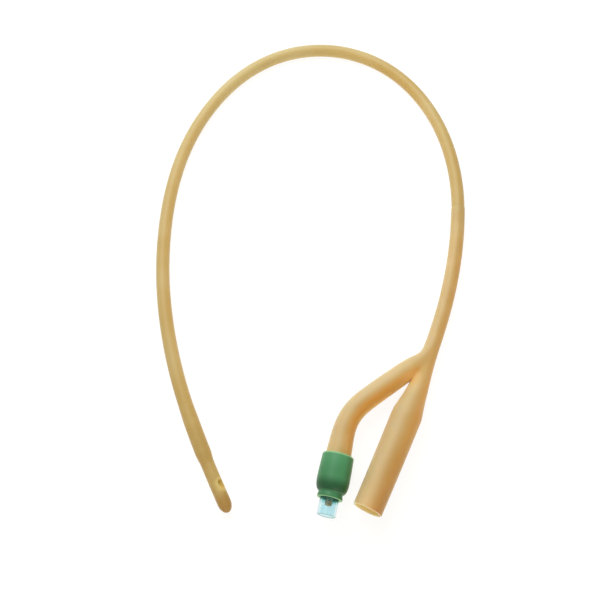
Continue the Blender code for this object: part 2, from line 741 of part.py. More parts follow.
def valve_stem(axis, finish):
    """Sprung stem: its tapered head shows in the port, and its flange presses the seal on the seat."""
    head = STEM_OD / 2
    top = STEM_TOP_OD / 2
    flange = STEM_FLANGE_OD / 2
    guide = STEM_GUIDE_OD / 2
    front = COLLAR_LENGTH + STEM_SHOWS
    seal_front = chamber_end() - GAP
    flange_front = seal_front - SEAL_THICKNESS - GAP
    flange_back = flange_front - STEM_FLANGE
    guide_back = port_start() - GAP + TAIL_PLUG + STEM_GUIDE_CLEARS
    profile = [(0, front), (top - STEM_EDGE, front), (top, front - STEM_EDGE)]
    profile += [(head, front - STEM_TAPER), (head, flange_front)]
    profile += [(flange, flange_front), (flange, flange_back), (guide, flange_back)]
    profile += [(guide, guide_back), (0, guide_back)]
    profile = [(r, h - flange_front) for r, h in profile]
    return turned("valve_stem", profile, finish, axis, z=flange_front, sides=SMALL_SIDES)


def valve_seal(axis, finish):
    """Elastomer ring on the stem, between the seat and the stem's flange."""
    front = chamber_end() - GAP
    back = front - SEAL_THICKNESS
    inner = STEM_OD / 2 + GAP
    outer = SEAL_OD / 2
    profile = [(inner + SEAL_LEAN, front), (outer, front), (outer, back)]
    profile += [(inner, back), (inner, front - SEAL_LEAN)]
    return turned("valve_seal", [(r, h - back) for r, h in profile], finish, axis, z=back, sides=SMALL_SIDES)


def valve_spring(axis, finish):
    """Compression spring between the stem's flange and the tail's plug."""
    top = chamber_end() - 2 * GAP - SEAL_THICKNESS - STEM_FLANGE - GAP
    bottom = port_start() - GAP + TAIL_PLUG + GAP
    radius = (SPRING_OD - SPRING_WIRE) / 2
    rise = top - bottom - SPRING_WIRE
    steps = SPRING_TURNS * SPRING_POINTS_PER_TURN
    curve = bpy.data.curves.new("valve_spring", "CURVE")
    curve.dimensions = "3D"
    curve.bevel_depth = SPRING_WIRE / 2
    curve.bevel_resolution = 1
    curve.use_fill_caps = True
    spline = curve.splines.new("POLY")
    spline.points.add(steps)
    for i, point in enumerate(spline.points):
        turn = 2 * math.pi * SPRING_TURNS * i / steps
        height = bottom + SPRING_WIRE / 2 + rise * i / steps
        point.co = (radius * math.cos(turn), radius * math.sin(turn), height, 1.0)
    curve.materials.append(finish)
    made = bpy.data.objects.new("valve_spring", curve)
    bpy.context.scene.collection.objects.link(made)
    made.parent = axis
    return made


def clear_scene():
    for old in list(bpy.data.objects):
        bpy.data.objects.remove(old, do_unlink=True)


def main():
    clear_scene()
    tube_latex = material("tube_latex", (0.58, 0.38, 0.13), 0.42)
    tip_latex = material("tip_latex", (0.60, 0.38, 0.12), 0.40)
    balloon_latex = material("balloon_latex", (0.62, 0.42, 0.16), 0.45)
    moulded_latex = material("moulded_latex", (0.57, 0.36, 0.12), 0.42)
    green_collar = material("green_collar", (0.07, 0.28, 0.13), 0.38)
    clear_plastic = material("clear_plastic", (0.55, 0.85, 0.9), 0.1, alpha=0.35)
    tail_plastic = material("tail_plastic", (0.75, 0.78, 0.8), 0.25)
    stem_plastic = material("stem_plastic", (0.11, 0.09, 0.05), 0.4)
    seal_rubber = material("seal_rubber", (0.03, 0.03, 0.03), 0.6)
    spring_steel = material("spring_steel", (0.6, 0.6, 0.6), 0.3, metallic=1.0)

    route = main_path()
    arm = arm_path(route)
    drainage_tip(route, tip_latex)
    balloon_sleeve(route, balloon_latex)
    shaft(route, tube_latex)
    y_connector(route, arm, moulded_latex)
    axis = valve_axis(arm)
    valve_collar(axis, green_collar)
    valve_housing(axis, clear_plastic)
    valve_tail(axis, tail_plastic)
    valve_stem(axis, stem_plastic)
    valve_seal(axis, seal_rubber)
    valve_spring(axis, spring_steel)


main()
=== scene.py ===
import math

import bpy
import numpy as np
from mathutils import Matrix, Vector


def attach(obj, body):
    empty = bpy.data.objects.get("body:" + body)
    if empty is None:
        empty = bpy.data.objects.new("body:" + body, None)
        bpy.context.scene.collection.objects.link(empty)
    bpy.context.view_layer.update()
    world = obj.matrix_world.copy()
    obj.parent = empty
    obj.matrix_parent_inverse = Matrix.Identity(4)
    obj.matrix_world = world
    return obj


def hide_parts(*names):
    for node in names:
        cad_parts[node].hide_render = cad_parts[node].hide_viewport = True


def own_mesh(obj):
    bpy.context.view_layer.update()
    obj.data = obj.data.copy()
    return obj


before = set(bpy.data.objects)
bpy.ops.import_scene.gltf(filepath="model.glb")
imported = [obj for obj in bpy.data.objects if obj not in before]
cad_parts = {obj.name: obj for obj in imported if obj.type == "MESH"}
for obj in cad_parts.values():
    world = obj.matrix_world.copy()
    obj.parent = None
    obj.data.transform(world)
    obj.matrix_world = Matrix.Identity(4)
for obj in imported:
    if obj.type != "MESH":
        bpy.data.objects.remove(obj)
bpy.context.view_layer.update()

print("frame loaded:", ", ".join(sorted(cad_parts)))

# Amber latex balloon catheter, lying in an open loop. Metres, and +Z is up from the surface it lies on.
# Stations are lengths along the tube from its rounded tip. The arm has stations of its own.

clearance = 0.0003  # what the solids keep between neighbours
upward = np.array([0.0, 0.0, 1.0])
paintedLightFrom = np.array([-0.45, 0.80, 0.45])  # painted light and shade: latex that faces this way is painted paler, and what faces away deeper orange


def addObject(name, data):
    made = bpy.data.objects.new(name, data)
    bpy.context.scene.collection.objects.link(made)
    return made


# Camera, at the photograph's angle
cameraPlace = {"elevation": 66.8, "distance": 0.218, "lens": 37.2, "aim": (-0.0108, 0.01813, 0.0)}

tilt = math.radians(cameraPlace["elevation"])
cameraData = bpy.data.cameras.new("photoCamera")
cameraData.lens = cameraPlace["lens"]
cameraData.clip_start = 0.01
camera = addObject("photoCamera", cameraData)
away = Vector((0, -math.cos(tilt), math.sin(tilt))) * cameraPlace["distance"]
camera.location = Vector(cameraPlace["aim"]) + away
camera.rotation_euler = (math.pi / 2 - tilt, 0, 0)
bpy.context.scene.camera = camera
print("camera set")


# Routes and surfaces
def easeIn(x):
    # 0 to 1 with no slope at either end: 3x^2 - 2x^3
    x = np.clip(x, 0.0, 1.0)
    return x * x * (3 - 2 * x)


def between(x, low, high):
    # 0 below low, 1 above high, and smooth in between
    return easeIn((x - low) / (high - low))


def lengthsAlong(points):
    return np.concatenate([[0.0], np.cumsum(np.linalg.norm(np.diff(points, axis=0), axis=1))])


def smoothThrough(points, spacing=0.00025):
    # natural cubic spline whose parameter is the chord length, sampled densely
    points = np.asarray(points, float)
    knots = lengthsAlong(points)
    width = np.diff(knots)
    system = np.eye(len(points))
    inner = np.arange(1, len(points) - 1)
    system[inner, inner - 1] = width[:-1]
    system[inner, inner] = 2 * (width[:-1] + width[1:])
    system[inner, inner + 1] = width[1:]
    slope = np.diff(points, axis=0) / width[:, None]
    target = np.zeros_like(points)
    target[1:-1] = 6 * np.diff(slope, axis=0)
    bend = np.linalg.solve(system, target)
    t = np.linspace(0, knots[-1], int(knots[-1] / spacing) + 1)
    span = np.clip(np.searchsorted(knots, t, side="right") - 1, 0, len(width) - 1)
    b = ((t - knots[span]) / width[span])[:, None]
    a = 1 - b
    curved = ((a**3 - a) * bend[span] + (b**3 - b) * bend[span + 1]) * width[span][:, None] ** 2 / 6
    return a * points[span] + b * points[span + 1] + curved


class Route:
    # A centreline of dense points. side is level and points to the arm's side, rise is close to straight up.
    def __init__(self, points):
        self.points, self.stations = points, lengthsAlong(points)
        self.length = self.stations[-1]
        self.slopes = np.gradient(points, self.stations, axis=0)

    def mixed(self, values, s):
        return np.stack([np.interp(s, self.stations, values[:, k]) for k in range(3)], axis=-1)

    def tangent(self, s):
        t = self.mixed(self.slopes, np.clip(s, 0, self.length))
        return t / np.linalg.norm(t, axis=-1, keepdims=True)

    def at(self, s):
        inside = np.clip(s, 0, self.length)
        return self.mixed(self.points, inside) + np.asarray(s - inside)[..., None] * self.tangent(inside)

    def side(self, s):
        across = np.cross(self.tangent(s), upward)
        return across / np.linalg.norm(across, axis=-1, keepdims=True)

    def rise(self, s):
        return np.cross(self.side(s), self.tangent(s))

    def around(self, s, angle, radius):
        # centre + radius * (sin(angle) * side + cos(angle) * rise)
        s, angle = np.broadcast_arrays(np.asarray(s, float), angle)
        turn = np.sin(angle)[..., None] * self.side(s) + np.cos(angle)[..., None] * self.rise(s)
        return self.at(s) + np.asarray(radius)[..., None] * turn

    def rings(self, s, sides, radius):
        # a whole circle at every station
        return self.around(s[:, None], turnAngles(sides), np.broadcast_to(radius, s.shape)[:, None])


def turnAngles(sides):
    return np.arange(sides) * 2 * math.pi / sides


def addMesh(name, points, faces, values):
    # the faces point outwards: the closed surface's signed volume has to be positive
    triangles = np.array([(f[0], f[i], f[i + 1]) for f in faces for i in range(1, len(f) - 1)])
    a, b, c = (points[triangles[:, k]] for k in range(3))
    if np.einsum("ij,ij->", a, np.cross(b, c)) < 0:
        faces = [tuple(reversed(f)) for f in faces]
    mesh = bpy.data.meshes.new(name)
    mesh.from_pydata(points.tolist(), [], faces)
    mesh.shade_smooth()
    for key, numbers in values.items():
        mesh.attributes.new(key, "FLOAT", "POINT").data.foreach_set("value", numbers.astype(np.float32))
    return addObject(name, mesh)


def facing(rings):
    # how far each point of a ring faces the upper left of the loop, the side painted as lit: 1 towards it, -1
    # away
    away = rings - rings.mean(axis=1, keepdims=True)
    away = away / np.linalg.norm(away, axis=2, keepdims=True).clip(1e-9)
    return away @ (paintedLightFrom / np.linalg.norm(paintedLightFrom))


def quads(fore, aft):
    # the faces between rings of point numbers and the rings that follow them
    corners = [fore, np.roll(fore, -1, axis=1), np.roll(aft, -1, axis=1), aft]
    return np.stack(corners, axis=-1).reshape(-1, 4).tolist()


def surface(name, rings, along, closed=False, marks=None):
    # A grid of rings by sides: quads between neighbouring rings, and a fan to the middle of each end ring.
    # A closed one joins its last ring to its first.
    points = rings.reshape(-1, 3)
    rows = np.arange(len(points)).reshape(rings.shape[:2])
    # the facing carries the painted light and shade
    values = {"along": np.repeat(along, rows.shape[1]), "litSide": facing(rings).ravel()}
    values.update({key: numbers.ravel() for key, numbers in (marks or {}).items()})
    if closed:
        return addMesh(name, points, quads(rows, np.roll(rows, -1, axis=0)), values)
    faces = quads(rows[:-1], rows[1:])
    for ring, middle in ((rows[0, ::-1], len(points)), (rows[-1], len(points) + 1)):
        faces += np.stack([ring, np.roll(ring, -1), np.full_like(ring, middle)], axis=-1).tolist()
    points = np.vstack([points, rings[0].mean(0), rings[-1].mean(0)])
    values = {key: np.append(numbers, numbers[[0, -1]]) for key, numbers in values.items()}
    return addMesh(name, points, faces, values)


def rounded(corners, radius, steps=5, closed=True):
    # each corner becomes a quadratic arc that starts and ends radius away from it, or nearer on a short side
    most = 0.45  # share of a side that one corner may take
    corners = np.asarray(corners, float)
    before, after = np.roll(corners, 1, axis=0), np.roll(corners, -1, axis=0)
    sideBefore = np.linalg.norm(before - corners, axis=1)[:, None]
    sideAfter = np.linalg.norm(after - corners, axis=1)[:, None]
    reach = np.minimum(np.reshape(radius, (-1, 1)), most * np.minimum(sideBefore, sideAfter))
    start = corners + reach * (before - corners) / sideBefore
    end = corners + reach * (after - corners) / sideAfter
    t = np.linspace(0, 1, steps)[None, :, None]
    arcs = (1 - t) ** 2 * start[:, None] + 2 * t * (1 - t) * corners[:, None] + t**2 * end[:, None]
    if closed:
        return arcs.reshape(-1, 2)
    return np.vstack([corners[:1], arcs[1:-1].reshape(-1, 2), corners[-1:]])


def squareTo(direction):
    # two directions square to an axis and to each other, the first one level
    across = np.cross(direction, upward)
    across /= np.linalg.norm(across)
    return across, np.cross(across, direction)


def lathe(name, outline, rounding, sides, steps=5, closed=True):
    # a rounded outline of (radius, height) round the valve: origin + height * direction + radius * turn
    profile = rounded(outline, rounding, steps, closed)
    origin, direction = valveAxis
    across, over = squareTo(direction)
    turn = turnAngles(sides)
    spokes = np.cos(turn)[:, None] * across + np.sin(turn)[:, None] * over
    rings = origin + profile[:, 1, None, None] * direction + profile[:, 0, None, None] * spokes
    return surface(name, rings, profile[:, 1], closed)


# Tube route: its plan, tip first and the funnel's mouth last
tubeRoute = [
    (-0.03245, -0.05290), (-0.03842, -0.04100), (-0.04480, -0.02711), (-0.05069, -0.01210),
    (-0.05546, 0.00430), (-0.05877, 0.02208), (-0.06011, 0.04120), (-0.05912, 0.06144),
    (-0.05480, 0.08221), (-0.04603, 0.10206), (-0.03250, 0.11891), (-0.01450, 0.12923),
    (0.00554, 0.13028), (0.02405, 0.12185), (0.03789, 0.10562), (0.04583, 0.08526),
    (0.04824, 0.06379), (0.04641, 0.04319), (0.04219, 0.02412), (0.03637, 0.00669),
    (0.03278, -0.00211), (0.02805, -0.01381), (0.02386, -0.02235), (0.01781, -0.03493),
    (0.00915, -0.05262),
]

tube = {
    "diameter": 14 / 3 * 0.001,  # French size 14
    "tuck": 0.0006,  # how far it runs into the sleeve and under the balloon
    "crown": 0.190,  # station of the loop's top, painted palest: painted light
    "crownSpread": 0.05, "crownShare": 0.3,
    "stiffness": "medium",
    "sides": 48, "spacing": 0.0007,
}

tip = {
    "length": 0.0163, "diameter": 0.0042,
    "nose": 0.0034, "noseRings": 34, "noseShade": 0.45,
    "noseStart": 0.04,  # angle of the first ring, in radians: no point lies at the very end
    "eyeLength": 0.0034, "eyeWidth": 0.0021,
    "eyeStation": 0.0084, "eyeStagger": 0.0024, "eyeRoll": 38,
    "eyeFloor": 0.0004,  # height of the eye's floor above the centreline
    "eyeLip": 0.0004,  # width of the rounded edge
    "eyeLightReach": 0.0012,  # how far painted light reaches round the eye
    "eyeLightShare": 0.4,
    "seatRings": 12, "sides": 160, "spacing": 0.00009,
}

balloon = {
    "length": 0.0198, "diameter": 0.00496, "wall": 0.00027,
    "taper": 0.0060, "step": 0.0042,
    "overlap": 0.0003,  # how far it starts in front of the seat
    "edge": 0.00003,
    "rings": 150, "sides": 96,
}

connector = {
    "length": 0.1144, "sleeve": 0.00494, "sleeveEnd": 0.00506,
    "funnelLength": 0.0549, "shoulder": 0.00976, "mouth": 0.0090, "funnelTilt": 3.0,
    "flareLength": 0.0225, "flarePower": 1.85,
    "wall": 0.0008, "lip": 0.00045,  # the wall thins out to the lip's width at the mouth
    "lumen": 0.0024,
    "boreOpens": 0.42, "boreRun": 0.6,  # where the lumen opens out and over what run, in flare lengths
    "edge": 0.00016, "chamfer": 0.00005,  # rounding of its cut ends
    "trunkRings": 6,
    "flareRings": (0.66, 0.79, 0.91, 1.0, 1.12),  # places of the cage's rings, in flare lengths
    "taperRings": (0.4, 0.7),  # the same between shoulder and mouth, in shares of that run
    "boreRings": (0.0325, 0.0245, 0.021, 0.018, 0.0155, 0.013, 0.010, 0.004),  # past the junction
}

arm = {
    "angle": 33.3,  # away from the trunk, in degrees
    "run": 0.0256,  # straight length before the bend
    "bend": 41.6,  # back again, in degrees
    "bendLength": 0.0170, "bendRings": (0.25, 0.5, 0.75, 1.0),
    "length": 0.0478,
    "insert": 0.0046,  # how far it goes into the collar
    "root": 0.0067, "diameter": 0.0071, "end": 0.0079,
    "endSwells": 0.9,  # where it starts to widen to its end, as a share of run and bend
    "rise": 7.5, "tilt": 4.5,  # slope of its centreline at the root and at the collar, in degrees
    "routePoints": 240,
}

collar = {
    "length": 0.0132, "top": 0.0098,
    "belly": 0.0101, "bellyAt": 0.0077,
    "shoulder": 0.0097,
    "shoulderTurn": 82,  # how much of a quarter ellipse the shoulder takes, in degrees
    "neck": 0.0073, "neckFillet": 0.0002,
    "lip": 0.0078, "lipLength": 0.0010, "lipBead": 0.0006,
    "armSlack": 0.00005, "portSlack": 0.0001,
    "topLean": 0.00005, "lipLean": 0.0001, "endLean": 0.00003,  # how far the ends of its outline draw in
    "edge": 0.0004, "topRounding": 0.00018, "rounding": 0.00012,
}

balloonAt = tip["length"]
balloonEnd = balloonAt + balloon["length"]


def mainRadius(s, length):
    # sleeve, then a flare that grows with its power to a firm shoulder, then a slow taper to the mouth
    start, junction = length - connector["length"], length - connector["funnelLength"]
    along = np.clip((s - start) / (junction - start), 0, 1)
    sleeve = connector["sleeve"] / 2 + along * (connector["sleeveEnd"] - connector["sleeve"]) / 2
    flare = np.clip((s - junction) / connector["flareLength"], 0, 1) ** connector["flarePower"]
    run = connector["funnelLength"] - connector["flareLength"]
    beyond = np.clip((s - junction - connector["flareLength"]) / run, 0, 1)
    grown = flare * (connector["shoulder"] - connector["sleeveEnd"]) / 2
    return sleeve + grown - beyond * (connector["shoulder"] - connector["mouth"]) / 2


def armRadius(s):
    # nearly even, then stretched where it goes over the valve's tail
    start = arm["root"] / 2 + (arm["diameter"] - arm["root"]) / 2 * easeIn(s / arm["run"])
    swell = (arm["run"] + arm["bendLength"]) * arm["endSwells"]
    return start + (arm["end"] - arm["diameter"]) / 2 * easeIn((s - swell) / (arm["length"] - swell))


def makeMainRoute():
    # every stretch rests on the surface, so the height follows the radius. The funnel's end tilts up.
    plan = smoothThrough(tubeRoute)
    s = lengthsAlong(plan)
    length = s[-1]
    settle = 5 * tube["diameter"]
    height = np.full_like(s, tube["diameter"] / 2)
    height += (balloon["diameter"] - tube["diameter"]) / 2 * easeIn(1 - (s - balloonEnd) / settle)
    sleeve = mainRadius(s, length) - tube["diameter"] / 2
    height += sleeve * easeIn(1 + (s - length + connector["length"]) / settle)
    run = connector["funnelLength"] - connector["flareLength"]
    beyond = np.clip(s - length + run, 0, None)
    height += beyond * math.tan(math.radians(connector["funnelTilt"]))
    height += beyond / run * (connector["shoulder"] - connector["mouth"]) / 2
    return Route(np.column_stack([plan, height]))


def makeArmRoute():
    # leaves the tube at an angle and bends back. The height is a cubic from the tube's axis to the collar's.
    start, forward = mainRoute.at(junctionAt), mainRoute.tangent(junctionAt)
    s = np.linspace(0, arm["length"] + arm["insert"], arm["routePoints"])
    turn = -arm["angle"] + arm["bend"] * easeIn((s - arm["run"]) / arm["bendLength"])
    heading = math.atan2(forward[1], forward[0]) + np.radians(turn)
    way = np.column_stack([np.cos(heading), np.sin(heading)])
    plan = start[:2] + np.vstack([[0, 0], np.cumsum((way[1:] + way[:-1]) / 2 * (s[1] - s[0]), axis=0)])
    lean = math.tan(math.radians(arm["tilt"]))
    rest = collar["top"] / 2 / math.cos(math.radians(arm["tilt"]))
    t = np.clip(s / arm["length"], 0, 1)
    height = (2 * t**3 - 3 * t**2 + 1) * start[2] + (3 * t**2 - 2 * t**3) * rest
    height += (t**3 - 2 * t**2 + t) * arm["length"] * math.tan(math.radians(arm["rise"]))
    height += (t**3 - t**2) * arm["length"] * lean
    height += np.clip(s - arm["length"], 0, None) * lean
    return Route(np.column_stack([plan, height]))


mainRoute = makeMainRoute()
junctionAt = mainRoute.length - connector["funnelLength"]
sleeveAt = mainRoute.length - connector["length"]
armRoute = makeArmRoute()
valveAxis = (armRoute.at(arm["length"]), armRoute.tangent(arm["length"]))


# Free tube first: one length of latex from the balloon to the connector's sleeve
def makeTube():
    # even circles round the route, tucked in at both ends.
    start, end = balloonEnd - tube["tuck"], sleeveAt + tube["tuck"]
    s = np.linspace(start, end, int((end - start) / tube["spacing"]))
    rings = mainRoute.rings(s, tube["sides"], tube["diameter"] / 2)
    # painted light along the loop's top
    crown = tube["crownShare"] * np.exp(-(((s - tube["crown"]) / tube["crownSpread"]) ** 2))
    made = surface("tube", rings, s, marks={"light": np.repeat(crown, tube["sides"])})
    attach(made, "root")
    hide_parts("shaft")
    mainRoute.at(sleeveAt)
    sleeveAt - balloonEnd - 2 * clearance
    mainRoute.at(s[::-4])
    return made


tubeObject = makeTube()
print("tube laid,", round(mainRoute.length, 4), "m from tip to mouth")


def makeTip():
    # radius: an ellipse over the nose, then even. Each eye moves the points inside a rounded slot along the
    # eye's own direction, down to a flat floor near the middle of the lumen.
    radius, nose = tip["diameter"] / 2, tip["nose"]
    quarter = np.linspace(tip["noseStart"], math.pi / 2, tip["noseRings"])
    s = nose * (1 - np.cos(quarter))
    s = np.concatenate([s, np.arange(s[-1] + tip["spacing"], balloonAt, tip["spacing"])])
    size = radius * np.sqrt(1 - np.clip(1 - s / nose, 0, 1) ** 2)
    rings = mainRoute.rings(s, tip["sides"], size)
    straight = (tip["eyeLength"] - tip["eyeWidth"]) / 2
    opened = np.zeros(rings.shape[:2])
    for number in range(2):
        station = tip["eyeStation"] + number * tip["eyeStagger"]
        turn = math.radians(tip["eyeRoll"] + number * 180)
        out = math.cos(turn) * mainRoute.side(station) + math.sin(turn) * mainRoute.rise(station)
        wide = np.cross(out, mainRoute.tangent(station))
        away = rings - mainRoute.at(station)
        across, height = away @ wide, away @ out
        lengthways = np.clip(np.abs(away @ mainRoute.tangent(station)) - straight, 0, None)
        inside = tip["eyeWidth"] / 2 - np.hypot(lengthways, across)
        depth = easeIn(inside / tip["eyeLip"]) * np.clip(height - tip["eyeFloor"], 0, None)
        rings = rings - depth[..., None] * out
        # painted light round each eye and inside it
        eyeLight = tip["eyeLightShare"] * easeIn(inside / tip["eyeLightReach"] + 1)
        opened += np.maximum(eyeLight, easeIn(inside / tip["eyeLip"])) * (height > 0)
    # the slimmer seat runs back under the balloon
    seat = balloon["diameter"] / 2 - balloon["wall"] - clearance
    back = np.linspace(balloonAt, balloonEnd - clearance, tip["seatRings"])
    seatRings = mainRoute.rings(back, tip["sides"], seat)
    opened = np.vstack([opened, np.zeros(seatRings.shape[:2])])
    rings, stations = np.vstack([rings, seatRings]), np.concatenate([s, back])
    browner = tip["noseShade"] * (1 - between(stations, nose, 2 * nose))
    marks = {"inside": opened, "shade": np.repeat(browner, tip["sides"])}
    made = surface("roundedTip", rings, stations, marks=marks)
    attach(made, "root")
    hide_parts("drainage_tip")
    return made


def makeBalloon():
    # outer radius: eases up from the tip over the step, stays even, and eases down to the tube over the taper
    start = balloonAt - balloon["overlap"]
    s = np.linspace(start, balloonEnd + balloon["edge"], balloon["rings"])
    full, low = balloon["diameter"] / 2, tip["diameter"] / 2 + balloon["edge"] / 3
    outer = low + (full - low) * easeIn((s - start) / balloon["step"])
    drop = full - tube["diameter"] / 2 - balloon["edge"]
    outer -= drop * easeIn((s - balloonEnd + balloon["taper"]) / balloon["taper"])
    inner = np.minimum(outer - balloon["wall"] / 2, full - balloon["wall"])
    s = np.concatenate([s, s[::-1]])
    rings = mainRoute.rings(s, balloon["sides"], np.concatenate([outer, inner[::-1]]))
    made = surface("emptyBalloon", rings, s, closed=True)
    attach(made, "root")
    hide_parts("balloon_sleeve")
    return made


# Connector: how it forks, and its tones
fork = {
    "crotch": 0.0113,  # from the junction to the crotch between arm and funnel
    "webPower": 0.4,  # under 1 it fills out the web in the crotch
    "hinge": 0.0030,  # from the junction to the line where the three outlines meet
    "corner": 0.0007, "height": 0.00285, "lead": 0.0035,
    "root": 0.0095,  # from the junction to the first ring of arm and funnel
    "funnelSlant": 0.0034, "armSlant": 0.0032,  # how far these two rings lean
    "firstRing": 0.0153, "sides": 16, "levels": 3,
}

connectorTone = {
    # shares of the painted glow on the side facing away, for each part
    "sleeveGlow": 0.4, "funnelGlow": 0.75,
    "armGlowFalls": 0.5, "armGlowBand": (0.55, 0.90),  # distance from the junction, in funnel lengths
    "shadeFrom": 0.2,  # the funnel's painted shade grows from here to its mouth, in funnel lengths
    "shadeShare": 0.55, "shadeBand": (-0.2, 0.7),  # of what faces away from the loop's upper left
    # painted light on the arm's far edge and on the web in the crotch
    "farShare": 0.8, "farBand": (-0.9, -0.3),
    "webReach": 0.0040,
}

# its subdivision pulls a ring in, so the cage's rings are wider by this share
cageShare = 3 / (2 + math.cos(2 * math.pi / fork["sides"]))


def outerRadius(s):
    return mainRadius(s, mainRoute.length)


def boreRadius(s):
    # the drainage lumen, which opens out inside the flare until only the wall is left
    opens = junctionAt + connector["boreOpens"] * connector["flareLength"]
    share = easeIn((s - opens) / (connector["boreRun"] * connector["flareLength"]))
    narrow = connector["lumen"] / 2
    return narrow + (outerRadius(s) - connector["wall"] - narrow) * share


def cageRing(route, s, radius, slant=0.0):
    # a circle round the route, or a slanted one: station + slant * sin(angle)
    angles = turnAngles(fork["sides"])
    places = s + slant * np.sin(angles)
    size = radius(places) if callable(radius) else np.full(len(angles), radius)
    return route.around(places, angles, cageShare * size)


def halfEllipse(centre, end, power=1.0):
    # from straight above the centre, out level towards the end, and round to straight below
    angles = np.linspace(0, math.pi, fork["sides"] // 2 + 1)
    rise = np.sign(np.cos(angles)) * np.abs(np.cos(angles)) ** power
    reach = (end - centre) * (1 - upward)
    height = fork["height"] * cageShare
    return centre + np.sin(angles)[:, None] * reach + rise[:, None] * height * upward


def splitTrunk():
    # Three half ellipses meet in one upright line: to the arm's side, to the far side and to the crotch.
    # Trunk, arm and funnel share them in pairs.
    hinge, armWay = fork["hinge"], armRoute.tangent(0.0)
    forward = mainRoute.tangent(junctionAt) + armWay
    forward[2] = 0
    forward /= np.linalg.norm(forward)
    centre = mainRoute.at(junctionAt) + hinge * forward
    centre[2] = fork["height"]
    corner = mainRoute.around(junctionAt, math.pi / 2, cageShare * outerRadius(junctionAt))
    farRadius = cageShare * outerRadius(junctionAt + hinge)
    far = mainRoute.around(junctionAt + hinge / 2, -math.pi / 2, farRadius)
    crotch = mainRoute.at(junctionAt) + fork["crotch"] * forward
    toArm = halfEllipse(centre, corner + fork["corner"] * armWay)
    toFar = halfEllipse(centre, far)
    toCrotch = halfEllipse(centre, crotch, fork["webPower"])
    pairs = ((toArm, toFar), (toArm, toCrotch), (toCrotch, toFar))
    return [np.vstack([one, other[1:-1][::-1]]) for one, other in pairs], crotch


def connectorStrips(parting, armRoot, funnelRoot):
    # Trunk, arm, and the funnel with its bore, each a list of rings.
    # The tube is tucked into the sleeve's solid end, so light can scatter through both as through one wall.
    edge, sleeveRadius = connector["edge"], outerRadius(sleeveAt)
    places = [(sleeveAt, tube["diameter"] / 2 - edge), (sleeveAt, sleeveRadius - connector["chamfer"])]
    places += [(sleeveAt + edge, sleeveRadius)]
    places += [(s, outerRadius) for s in np.linspace(sleeveAt, junctionAt, connector["trunkRings"] + 2)[1:-1]]
    places += [(junctionAt - fork["lead"], outerRadius)]
    trunk = [cageRing(mainRoute, s, radius) for s, radius in places]

    mouth = mainRoute.length
    funnel = [cageRing(mainRoute, junctionAt + fork["root"], outerRadius, fork["funnelSlant"])]
    flare = junctionAt + connector["flareLength"] * np.array(connector["flareRings"])
    shoulder = junctionAt + connector["flareLength"]
    taper = shoulder + (mouth - shoulder) * np.array(connector["taperRings"])
    outer = outerRadius(mouth)
    inner, rim = outer - connector["lip"], 0.4 * edge
    places = [(s, outerRadius) for s in np.concatenate([flare, taper])]
    places += [(mouth - 4 * edge, outer), (mouth - edge, outer), (mouth, outer - rim)]
    places += [(mouth, inner + rim), (mouth - edge, inner)]
    places += [(junctionAt + s, boreRadius) for s in connector["boreRings"]]
    funnel += [cageRing(mainRoute, s, radius) for s, radius in places]

    branch = [cageRing(armRoute, fork["root"], armRadius, -fork["armSlant"])]
    last = arm["length"] + arm["insert"]
    run = np.linspace(fork["firstRing"], arm["run"], 3)
    bend = arm["run"] + arm["bendLength"] * np.array(arm["bendRings"])
    ending = np.linspace(bend[-1], arm["length"], 3)[1:]
    places = np.concatenate([run, bend, ending, [last - edge, last]])
    branch += [cageRing(armRoute, s, armRadius) for s in places]
    return [trunk + [parting], [armRoot] + branch, [funnelRoot] + funnel]


def joinStrips(strips):
    # Quads between neighbouring rings, and a face over each open end. Equal points become one: they are
    # merged by rounding to a tenth of a micron. kept is each merged point's first place.
    stacked = np.vstack([np.vstack(strip) for strip in strips])
    kept, index = np.unique(np.round(stacked, 7), axis=0, return_index=True, return_inverse=True)[1:]
    ends = np.cumsum([len(strip) for strip in strips])[:-1]
    trunk, branch, funnel = parts = np.split(index.reshape(-1, fork["sides"]), ends)
    faces = [face for part in parts for face in quads(part[:-1], part[1:])]
    faces += [trunk[0].tolist()[::-1], branch[-1].tolist(), funnel[-1].tolist()]
    return stacked[kept], faces, kept


def connectorMarks(strips, crotch, kept):
    # The bore with painted light inside and a painted highlight on its rim, the painted glow (most on the
    # arm, least on the sleeve) and the funnel's painted shade. The crotch's thin web and the arm's far edge:
    # painted light.
    tone = connectorTone
    rings = np.concatenate(strips)
    onTrunk, onArm, onFunnel = np.repeat(np.eye(3, dtype=bool), [len(strip) for strip in strips], axis=1)
    pastMouth = np.arange(len(rings)) - len(rings) + len(connector["boreRings"]) + 2
    reach = np.linalg.norm(rings.mean(axis=1) - mainRoute.at(junctionAt), axis=1) / connector["funnelLength"]
    litSide = facing(rings)
    armGlow = 1 - tone["armGlowFalls"] * between(reach, *tone["armGlowBand"])
    towards = np.clip((reach - tone["shadeFrom"]) / (1 - tone["shadeFrom"]), 0, 1) ** 2 * onFunnel
    # painted light on the arm's far edge and in the crotch's crease
    farEdgeLight = (1 - between(litSide, *tone["farBand"])) * onArm[:, None] * tone["farShare"]
    web = np.exp(-((np.linalg.norm(rings - crotch, axis=2) / tone["webReach"]) ** 2))
    marks = {
        "along": np.linalg.norm(rings - mainRoute.at(sleeveAt), axis=2),
        "litSide": litSide,
        # painted light inside the bore and a painted highlight on the mouth's rim
        "inside": pastMouth > 0,
        "rim": (pastMouth == 0) | (pastMouth == -1),
        # how much painted glow each part takes
        "glow": np.select([onTrunk, onArm], [tone["sleeveGlow"], armGlow], tone["funnelGlow"]),
        # painted shade on the funnel, deeper towards the mouth and on what faces away
        "shade": towards[:, None] * tone["shadeShare"] * (1 - between(litSide, *tone["shadeBand"])),
        "light": np.maximum(farEdgeLight, web),
    }
    marks = {key: np.reshape(values, (len(rings), -1)) for key, values in marks.items()}
    return {key: np.broadcast_to(values, rings.shape[:2]).ravel()[kept] for key, values in marks.items()}


